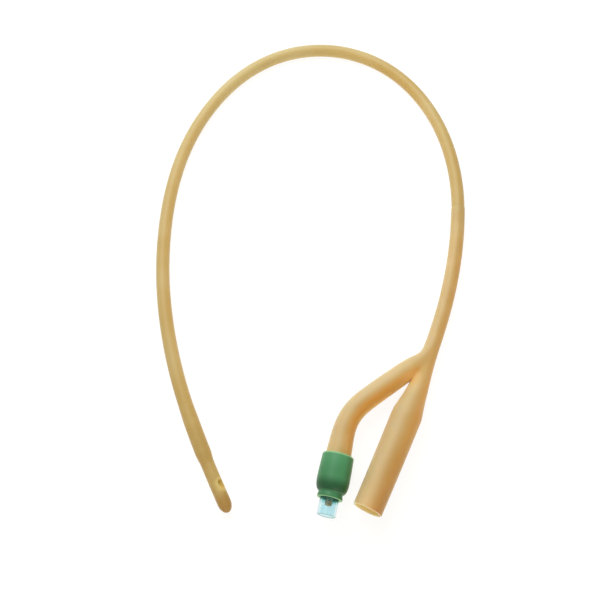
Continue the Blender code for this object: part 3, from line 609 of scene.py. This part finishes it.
def makeConnector():
    # a cage of rings that parts in three, rounded by subdivision
    outlines, crotch = splitTrunk()
    strips = connectorStrips(*outlines)
    points, faces, kept = joinStrips(strips)
    made = addMesh("latexConnector", points, faces, connectorMarks(strips, crotch, kept))
    smooth = made.modifiers.new("smooth", "SUBSURF")
    smooth.levels = smooth.render_levels = fork["levels"]
    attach(made, "root")
    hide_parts("y_connector")
    return made


tipObject = makeTip()
balloonObject = makeBalloon()
connectorObject = makeConnector()
print("latex pieces made")


# Valve
housing = {
    "port": 0.0057, "reach": 0.0051,
    "bore": 0.0043, "seatBore": 0.0040, "depth": 0.0062,
    "seat": 0.0007, "body": 0.0072, "step": 0.0104, "chamber": 0.0052,
    "edge": 0.00028,
}

tail = {
    "flange": 0.0006, "plug": 0.0008, "length": 0.0066, "diameter": 0.0038,
    "barb": 0.00018, "barbLength": 0.0012, "barbPlaces": (0.72, 0.36),  # shares of its length
    "nose": 0.0003, "bore": 0.0020, "edge": 0.00008,
}

stem = {
    "head": 0.0026, "top": 0.0020, "taper": 0.0030, "shows": 0.0020,
    "flange": 0.0044, "flangeHeight": 0.0006,
    "guide": 0.0014, "guideClears": 0.0010,
    "edge": 0.00022,
}

seal = {"diameter": 0.0046, "height": 0.0007, "edge": 0.0002}

spring = {
    "diameter": 0.0034, "wire": 0.00028, "turns": 3, "stroke": 0.0012,
    "turnRings": 48, "wireSides": 10,
}

# heights along the valve's axis, from the collar's upper edge
flangeTop = arm["insert"] + clearance + tail["flange"]
portStart = flangeTop + clearance
portEnd = collar["length"] + housing["reach"]
chamberEnd = portEnd - housing["depth"] - housing["seat"]
sealFront = chamberEnd - clearance
stemFlange = sealFront - seal["height"] - clearance
springTop = stemFlange - stem["flangeHeight"] - clearance
springFoot = flangeTop + tail["plug"] + clearance


def makeCollar():
    # turned outline: rounded top edge, swelling body, an elliptical shoulder, a neck and a flared lip
    entry, throat = arm["end"] / 2 + collar["armSlack"], housing["port"] / 2 + collar["portSlack"]
    body, insideStep = housing["body"] / 2 + clearance, housing["step"] + clearance
    top, belly, neck, lip = (collar[k] / 2 for k in ("top", "belly", "neck", "lip"))
    length, bellyAt, fillet = collar["length"], collar["bellyAt"], collar["neckFillet"]
    neckAt = (length + collar["shoulder"]) / 2
    turn = np.linspace(0.0, math.radians(collar["shoulderTurn"]), 14)
    shoulder = np.column_stack([
        neck + fillet + (belly - neck - fillet) * np.cos(turn),
        bellyAt + (neckAt - fillet - bellyAt) * np.sin(turn),
    ])
    rise = np.linspace(0.08, 0.92, 8)  # shares of the way from the top's edge to the belly
    side = np.column_stack([
        top + (belly - top) * np.sin(rise * math.pi / 2),
        collar["edge"] + (bellyAt - collar["edge"]) * rise,
    ])
    outline = np.vstack([
        [(entry, 0.0), (top - collar["topLean"], 0.0), (top, collar["edge"])],
        side,
        shoulder,
        [(neck, neckAt + fillet), (lip - collar["lipLean"], length - collar["lipLength"])],
        [(lip, length - collar["lipBead"]), (lip - collar["endLean"], length)],
        [(throat, length), (throat, insideStep)],
        [(body, insideStep), (body, arm["insert"]), (entry, arm["insert"])],
    ])
    reach = np.full(len(outline), collar["rounding"])
    reach[:2] = collar["topRounding"]
    made = lathe("greenCollar", outline, reach, sides=128)
    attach(made, "root")
    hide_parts("valve_collar")
    return made


def makeHousing():
    # turned outline: port tube, step to the body, spring chamber, seat, and the tapered bore of the port
    port, body, chamber, seatBore, bore = (
        housing[k] / 2 for k in ("port", "body", "chamber", "seatBore", "bore")
    )
    step, hole, seatEnd = housing["step"], stem["head"] / 2 + clearance, chamberEnd + housing["seat"]
    outline = [(port, portEnd), (port, step), (body, step), (body, portStart), (chamber, portStart)]
    outline += [(chamber, chamberEnd), (hole, chamberEnd), (hole, seatEnd), (seatBore, seatEnd)]
    outline += [(bore, portEnd)]
    made = lathe("clearHousing", outline, housing["edge"], sides=96)
    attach(made, "root")
    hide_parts("valve_housing")
    return made


def makeTail():
    # turned outline: plug, flange, a plain neck and two barbs
    neck, end = tail["diameter"] / 2, arm["insert"] - tail["length"]
    bore, plug, plugTop = tail["bore"] / 2, housing["chamber"] / 2 - clearance, flangeTop + tail["plug"]
    flange, flangeFoot = housing["body"] / 2, arm["insert"] + clearance
    outline = [(bore, plugTop), (plug, plugTop), (plug, flangeTop), (flange, flangeTop)]
    outline += [(flange, flangeFoot), (neck, flangeFoot)]
    for share in tail["barbPlaces"]:
        crest = end + tail["length"] * share
        outline += [(neck, crest + tail["barb"] / 2), (neck + tail["barb"], crest)]
        outline += [(neck, crest - tail["barbLength"])]
    outline += [(neck - tail["nose"], end), (bore, end)]
    made = lathe("barbedTail", outline, tail["edge"], sides=64, steps=3)
    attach(made, "root")
    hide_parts("valve_tail")
    return made


def makeStem():
    # turned outline, open at the axis: a tapered head, a flange that carries the seal, and a guide pin
    head, top, flange, guide = (stem[k] / 2 for k in ("head", "top", "flange", "guide"))
    front, flangeBack = collar["length"] + stem["shows"], stemFlange - stem["flangeHeight"]
    middle = 0.00002  # keeps the outline's end points off the axis
    guideBack = springFoot - clearance + stem["guideClears"]
    outline = [(middle, front), (top, front), (head, front - stem["taper"]), (head, stemFlange)]
    outline += [(flange, stemFlange), (flange, flangeBack), (guide, flangeBack)]
    outline += [(guide, guideBack), (middle, guideBack)]
    made = lathe("valveStem", outline, stem["edge"], sides=64, closed=False)
    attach(made, "stem")
    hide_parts("valve_stem")
    return made


def makeSeal():
    # turned outline: a square section with rounded edges
    inner, outer = stem["head"] / 2 + clearance, seal["diameter"] / 2
    back = sealFront - seal["height"]
    outline = [(inner, sealFront), (outer, sealFront), (outer, back), (inner, back)]
    made = lathe("sealRing", outline, seal["edge"], sides=64)
    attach(made, "stem")
    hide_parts("valve_seal")
    return made


def makeSpring():
    # helix: radius * (cos, sin) round the valve's axis with an even rise, and a ring of wire along it
    origin, direction = valveAxis
    across, over = squareTo(direction)
    wire, steps = spring["wire"] / 2, spring["turns"] * spring["turnRings"]
    radius = spring["diameter"] / 2 - wire
    turn = np.linspace(0, 2 * math.pi * spring["turns"], steps)[:, None]
    out = np.cos(turn) * across + np.sin(turn) * over
    rise = (springTop - springFoot - 2 * wire) * np.linspace(0, 1, steps)[:, None]
    centre = origin + (springFoot + wire + rise) * direction + radius * out
    angles = turnAngles(spring["wireSides"])[None, :, None]
    rings = centre[:, None] + wire * (np.cos(angles) * out[:, None] + np.sin(angles) * direction)
    made = surface("returnSpring", rings, np.linspace(0, 1, steps))
    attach(made, "root")
    free = springTop - springFoot
    foot = origin + springFoot * direction
    (free - spring["stroke"]) / free
    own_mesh(made)
    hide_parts("valve_spring")
    return made


collarObject = makeCollar()
housingObject = makeHousing()
tailObject = makeTail()
stemObject = makeStem()
sealObject = makeSeal()
springObject = makeSpring()
print("valve pieces made")


# Finishes
def screenColour(red, green, blue):
    # a colour as a screen shows it, 0 to 255, turned into light
    values = np.array([red, green, blue]) / 255
    light = np.where(values <= 0.04045, values / 12.92, ((values + 0.055) / 1.055) ** 2.4)
    return (*light.tolist(), 1.0)


def tonesOf(look):
    # a look's colours, which are its values of three numbers
    return {key: screenColour(*value) for key, value in look.items() if np.size(value) == 3}


class Level:
    # one number that varies over a surface. Sums and products add Math nodes.
    def __init__(self, finish, socket):
        self.finish = finish
        self.socket = socket

    def math(self, operation, *values):
        node = self.finish.node("ShaderNodeMath", {"operation": operation}, dict(enumerate(values)))
        return Level(self.finish, node.outputs[0])

    def __add__(self, other):
        return self.math("ADD", self, other)

    def __radd__(self, other):
        return self.math("ADD", other, self)

    def __sub__(self, other):
        return self.math("SUBTRACT", self, other)

    def __rsub__(self, other):
        return self.math("SUBTRACT", other, self)

    def __mul__(self, other):
        return self.math("MULTIPLY", self, other)

    def __rmul__(self, other):
        return self.math("MULTIPLY", other, self)

    def between(self, low, high):
        # 0 below low, 1 above high, and smooth in between
        values = {"Value": self, "From Min": low, "From Max": high}
        node = self.finish.node("ShaderNodeMapRange", {"interpolation_type": "SMOOTHSTEP"}, values)
        return Level(self.finish, node.outputs["Result"])


class Finish:
    # the nodes of a new material, or of a new world
    def __init__(self, name, holders=bpy.data.materials, outputKind="ShaderNodeOutputMaterial"):
        self.holder = holders.new(name)
        self.holder.use_nodes = True
        self.tree = self.holder.node_tree
        self.tree.nodes.clear()
        self.output = self.tree.nodes.new(outputKind)

    def node(self, kind, settings=None, values=None):
        # one node: its type, its settings, and its inputs as numbers or as links
        made = self.tree.nodes.new(kind)
        for key, value in (settings or {}).items():
            setattr(made, key, value)
        for key, value in (values or {}).items():
            value = value.socket if isinstance(value, Level) else value
            value = value.outputs[0] if isinstance(value, bpy.types.Node) else value
            if isinstance(value, bpy.types.NodeSocket):
                self.tree.links.new(value, made.inputs[key])
            else:
                made.inputs[key].default_value = value
        return made

    def place(self):
        return self.node("ShaderNodeTexCoord").outputs["Object"]

    def level(self, name):
        return Level(self, self.node("ShaderNodeAttribute", {"attribute_name": name}).outputs["Fac"])

    def noise(self, scale, detail=2.0, roughness=0.5):
        values = {"Vector": self.place(), "Scale": scale, "Detail": detail, "Roughness": roughness}
        return Level(self, self.node("ShaderNodeTexNoise", None, values).outputs["Fac"])

    def mix(self, share, first, second):
        return self.node("ShaderNodeMix", {"data_type": "RGBA"}, {0: share, 6: first, 7: second}).outputs[2]

    def bump(self, height, strength, distance):
        values = {"Height": height, "Strength": strength, "Distance": distance}
        return self.node("ShaderNodeBump", None, values).outputs["Normal"]

    def show(self, shader):
        self.tree.links.new(shader.outputs[0], self.output.inputs["Surface"])
        return self.holder

    def showMix(self, share, first, second):
        return self.show(self.node("ShaderNodeMixShader", None, {0: share, 1: first, 2: second}))

    def principled(self, values):
        return self.node("ShaderNodeBsdfPrincipled", None, values)


latexLook = {
    "deep": (192, 163, 92), "pale": (202, 178, 117), "paleBand": (0.30, 0.72),
    "olive": (196, 170, 92), "oliveBand": (0.55, 0.85), "oliveShare": 0.45,
    # painted shade glow: a deeper orange on what faces away from the loop's upper left
    "shadeGlow": (223, 160, 60), "shadeGlowShare": 0.15,
    "shadeGlowBand": (-0.1, 0.62),  # from how far it faces the loop's upper left
    "belowBand": (0.1, 0.75), "belowShare": 0.6,  # and less of the painted glow again on what faces right away
    # painted light: a paler tone on what faces the loop's upper left
    "litSide": (226, 208, 164), "litSideBand": (0.3, 0.95), "litSideShare": 0.3,
    # shade: painted shade on the funnel, a darker nose on the tip; light: painted light on loop top, crotch,
    # arm edge
    "shade": (150, 122, 66), "light": (204, 200, 150),
    # inside: painted light in the bore and the eyes; rim: a painted highlight on the funnel's rim
    "inside": (255, 226, 168), "rim": (255, 250, 236),
    "glows": False, "fade": None,
    "patch": 55, "fine": 900,
    "bleed": 0.0006,  # how far light scatters inside, in metres
    "translucency": 0.05,
    "roughness": 0.50, "coat": 0.1, "sheen": 0.32,
}


def latexFinish(name, changes=None):
    # Amber latex: slow patches of paler and greener tone, a faint unevenness and a satin skin. A piece that
    # fades has the tube's tone at the first of its two stations and its own tone at the second.
    # painted light and shade: paler on what faces the loop's upper left, deeper orange on what faces away
    look = {**latexLook, **(changes or {})}
    tones, tubeTones = tonesOf(look), tonesOf(latexLook)
    finish = Finish(name)
    slow, patchy = finish.noise(look["patch"], 2.0), finish.noise(look["patch"] * 2.3, 1.0)
    fine, litSide = finish.noise(look["fine"], 1.0), finish.level("litSide")
    own = finish.level("along").between(*look["fade"]) if look["fade"] else 1.0
    pale = slow.between(*look["paleBand"])
    fromTube = finish.mix(pale, tubeTones["deep"], tubeTones["pale"])
    colour = finish.mix(own, fromTube, finish.mix(pale, tones["deep"], tones["pale"]))
    shadeGlowShare, litSideShare = (
        own * (look[key] - latexLook[key]) + latexLook[key] for key in ("shadeGlowShare", "litSideShare")
    )
    colour = finish.mix(patchy.between(*look["oliveBand"]) * look["oliveShare"], colour, tones["olive"])
    # painted shade glow on what faces away, less again on what faces right away, scaled by each part's glow
    below = (0 - litSide).between(*look["belowBand"]) * look["belowShare"]
    shadeGlow = (1 - litSide.between(*look["shadeGlowBand"])) * (1 - below)
    if look["glows"]:
        shadeGlow = shadeGlow * finish.level("glow")
    colour = finish.mix(shadeGlow * shadeGlowShare, colour, tones["shadeGlow"])
    # painted light on what faces the loop's upper left
    colour = finish.mix(litSide.between(*look["litSideBand"]) * litSideShare, colour, tones["litSide"])
    for mark in ("shade", "light", "inside", "rim"):
        colour = finish.mix(finish.level(mark), colour, tones[mark])
    return finish.show(finish.principled({
        "Base Color": colour,
        "Roughness": look["roughness"] + 0.10 * (fine - 0.5) + 0.06 * (slow - 0.5),
        "Normal": finish.bump(0.2 * fine + 2.0 * patchy, 0.12, 0.00012),
        "Subsurface Weight": look["translucency"], "Subsurface Scale": look["bleed"],
        "Subsurface Radius": (1.0, 0.7, 0.3),
        "Coat Weight": look["coat"], "Coat Roughness": 0.34,
        "IOR": 1.52, "Specular IOR Level": 0.36,
        "Sheen Weight": look["sheen"], "Sheen Roughness": 0.38, "Sheen Tint": (1.0, 0.96, 0.86, 1.0),
    }))


collarLook = {
    "body": (64, 137, 88), "pale": (82, 152, 104), "paleBand": (0.35, 0.75), "paleShare": 0.5,
    # painted light towards the top
    "light": (92, 168, 118), "lightUntil": 0.0065, "lightShare": 0.6,
    # painted shade on what faces away, and darker from the belly to the shoulder, much less from the neck on
    "dark": (22, 84, 44), "darkFacing": (-0.35, 0.25), "darkFacingShare": 0.4,
    "darkBand": (0.0066, 0.0102), "neckBand": (0.0110, 0.0115), "neckShare": 0.75,
    # painted warm light on what faces right away
    "olive": (112, 146, 86), "oliveFacing": (-0.65, -0.15), "oliveShare": 0.6,
    # painted highlight along the two cut edges
    "edge": (160, 214, 158), "edgeShare": 0.8, "topBand": (0.0002, 0.0007),
    "lipBand": (0.00022, 0.00002),  # from the lip's end
}


def collarFinish():
    # green sleeve, darker over its shoulder, and painted: light at the top, shade and warm olive light facing
    # away, highlights on its two cut edges
    look, tones = collarLook, tonesOf(collarLook)
    finish = Finish("greenSleeve")
    along, litSide = finish.level("along"), finish.level("litSide")
    slow, fine = finish.noise(140, 2.0), finish.noise(1500, 3.0, 0.6)
    lipFrom, lipTo = (collar["length"] - back for back in look["lipBand"])
    deeper = along.between(*look["darkBand"]) * (1 - along.between(*look["neckBand"]) * look["neckShare"])
    edges = 1 - along.between(*look["topBand"]) + along.between(lipFrom, lipTo)
    colour = finish.mix(slow.between(*look["paleBand"]) * look["paleShare"], tones["body"], tones["pale"])
    # painted light at the top, painted shade and warm light facing away, painted highlights on the cut edges
    layers = (
        ("light", (1 - along.between(0.0, look["lightUntil"])) * look["lightShare"]),
        ("dark", (1 - litSide.between(*look["darkFacing"])) * look["darkFacingShare"]),
        ("dark", deeper),
        ("olive", (1 - litSide.between(*look["oliveFacing"])) * look["oliveShare"]),
        ("edge", edges * look["edgeShare"]),
    )
    for tone, share in layers:
        colour = finish.mix(share, colour, tones[tone])
    return finish.show(finish.principled({
        "Base Color": colour,
        "Roughness": 0.48 + 0.12 * (fine - 0.5), "Specular IOR Level": 0.32,
        "Normal": finish.bump(fine + slow, 0.15, 0.00008),
        "Subsurface Weight": 0.15, "Subsurface Radius": (0.3, 1.0, 0.4), "Subsurface Scale": 0.0008,
        "Coat Weight": 0.05, "Coat Roughness": 0.3,
        "Sheen Weight": 0.12, "Sheen Roughness": 0.4,
    }))


clearLook = {
    "open": (224, 247, 252), "cloud": (96, 176, 168),
    "cutEdge": (156, 192, 198), "rimBand": (0.0003, 0.0001),  # from the port's end
    "covered": (92, 196, 190), "coveredShare": 0.9, "coveredUntil": 0.0014,  # past the collar's lip
}


def clearFinish():
    # clear plastic with a blue tint, cloudier at the cut of its rim and where it thickens inside the collar
    look, tones = clearLook, tonesOf(clearLook)
    finish = Finish("clearBlue")
    along, cloud = finish.level("along"), finish.noise(420, 2.0)
    rimFrom, rimTo = (portEnd - back for back in look["rimBand"])
    rim = along.between(rimFrom, rimTo)
    hidden = 1 - along.between(collar["length"], collar["length"] + look["coveredUntil"])
    colour = finish.mix(hidden * look["coveredShare"], tones["open"], tones["covered"])
    clear = finish.principled({
        "Base Color": colour,
        "Roughness": 0.02 + 0.03 * cloud + 0.1 * rim,
        "Normal": finish.bump(cloud, 0.1, 0.00005),
        "Transmission Weight": 1.0, "IOR": 1.05,
        "Coat Weight": 0.4, "Coat Roughness": 0.05, "Coat IOR": 1.45,
    })
    cloudTone = finish.mix(rim, tones["cloud"], tones["cutEdge"])
    cloudy = finish.principled({"Base Color": cloudTone, "Roughness": 0.25})
    return finish.showMix(0.05 + 0.12 * hidden + 0.6 * rim, clear, cloudy)


def plainFinish(name, colour, second, roughness, scale=700, metallic=0.0):
    # moulded or drawn stock: two close tones and a fine unevenness
    finish = Finish(name)
    grain = finish.noise(scale, 3.0, 0.6)
    return finish.show(finish.principled({
        "Base Color": finish.mix(grain.between(0.3, 0.7), screenColour(*colour), screenColour(*second)),
        "Roughness": roughness + 0.1 * (grain - 0.5), "Metallic": metallic,
        "Normal": finish.bump(grain, 0.1, 0.00004),
    }))


finishes = (
    (tubeObject, latexFinish("tubeLatex")),
    (tipObject, latexFinish("tipLatex", {
        # inside: painted light in the eyes
        "deep": (184, 154, 84), "pale": (194, 168, 102), "shade": (160, 108, 36), "inside": (248, 230, 150),
        "patch": 160, "bleed": 0.0004,
    })),
    (balloonObject, latexFinish("balloonLatex", {
        "deep": (184, 154, 84), "pale": (194, 168, 102),
        "patch": 110, "bleed": 0.0003, "fade": (balloonEnd, balloonEnd - 0.016),
    })),
    (connectorObject, latexFinish("mouldedLatex", {
        # light: painted light for the crotch and the arm's far edge
        "deep": (202, 168, 100), "pale": (212, 184, 124), "light": (252, 216, 144),
        "patch": 75, "bleed": 0.0014, "translucency": 0.85, "fade": (0.0, 0.024),
        "shadeGlowShare": 0.9, "litSideShare": 0.6, "glows": True,
    })),
    (collarObject, collarFinish()),
    (housingObject, clearFinish()),
    (tailObject, plainFinish("paleTail", (214, 224, 226), (226, 234, 236), 0.25)),
    (stemObject, plainFinish("brownStem", (138, 98, 46), (154, 118, 62), 0.6, 900)),
    (sealObject, plainFinish("blackSeal", (34, 34, 34), (48, 48, 48), 0.55)),
    (springObject, plainFinish("springWire", (176, 176, 178), (200, 200, 202), 0.3, 3000, 1.0)),
)
for piece, material in finishes:
    piece.data.materials.append(material)
print("finishes made")


# Floor, world and lamps
studio = {
    "floorHalf": 1.6, "floorTone": (0.86, 0.86, 0.86, 1), "shownTone": (0.20, 0.20, 0.20, 1),
    "shownGlow": 0.88, "farGlow": 0.95, "farBand": (0.15, 0.8),  # metres from the middle
    "bounced": {"Color": (1.0, 0.90, 0.74, 1), "Strength": 0.42},  # what floor and room throw back
}
lamps = {
    "keyLamp": {"energy": 1.05, "size": 0.30, "color": (0.96, 0.98, 1.0), "from": (-0.09, 0.24, 0.30)},
    "fillLamp": {"energy": 0.9, "size": 0.3, "color": (1.0, 0.87, 0.66), "from": (0.12, -0.55, 0.26)},
}


def seenDirectly(finish):
    # 1 for what the camera sees, also in a reflection or through something clear, and 0 for bounced light
    path = finish.node("ShaderNodeLightPath")
    seen = Level(finish, path.outputs["Is Camera Ray"])
    seen = seen.math("MAXIMUM", seen, path.outputs["Is Glossy Ray"])
    return seen.math("MAXIMUM", seen, path.outputs["Is Transmission Ray"])


def makeFloor():
    corners = studio["floorHalf"] * np.array([(-1, -1, 0), (1, -1, 0), (1, 1, 0), (-1, 1, 0)])
    made = addMesh("paleFloor", corners, [(0, 1, 2, 3)], {})
    finish = Finish("paleFloor")
    pale = finish.node("ShaderNodeBsdfDiffuse", None, {"Color": studio["floorTone"]})
    bounce = finish.node("ShaderNodeEmission", None, studio["bounced"])
    plain = finish.node("ShaderNodeAddShader", None, {0: pale, 1: bounce})
    shaded = finish.node("ShaderNodeBsdfDiffuse", None, {"Color": studio["shownTone"]})
    # the glow makes up for the lamps' falling light, so that the floor meets the world without a line
    away = finish.node("ShaderNodeVectorMath", {"operation": "LENGTH"}, {0: finish.place()}).outputs["Value"]
    near, far = ((glow, glow, glow, 1) for glow in (studio["shownGlow"], studio["farGlow"]))
    tone = finish.mix(Level(finish, away).between(*studio["farBand"]), near, far)
    glow = finish.node("ShaderNodeEmission", None, {"Color": tone, "Strength": 1.0})
    shown = finish.node("ShaderNodeAddShader", None, {0: shaded, 1: glow})
    made.data.materials.append(finish.showMix(seenDirectly(finish), plain, shown))


def makeWorld():
    finish = Finish("whiteRoom", bpy.data.worlds, "ShaderNodeOutputWorld")
    dim = finish.node("ShaderNodeBackground", None, studio["bounced"])
    white = finish.node("ShaderNodeBackground", None, {"Color": (1, 1, 1, 1), "Strength": 1.0})
    bpy.context.scene.world = finish.showMix(seenDirectly(finish), dim, white)


def makeLamp(name, lamp):
    # a square lamp that faces the middle of the part
    light = bpy.data.lights.new(name, "AREA")
    light.energy, light.size, light.color = lamp["energy"], lamp["size"], lamp["color"]
    made = addObject(name, light)
    made.location = lamp["from"]
    made.rotation_euler = (-made.location).to_track_quat("-Z", "Y").to_euler()


makeFloor()
makeWorld()
for name, lamp in lamps.items():
    makeLamp(name, lamp)
bpy.context.scene.view_settings.view_transform = "Standard"
print("studio lit")
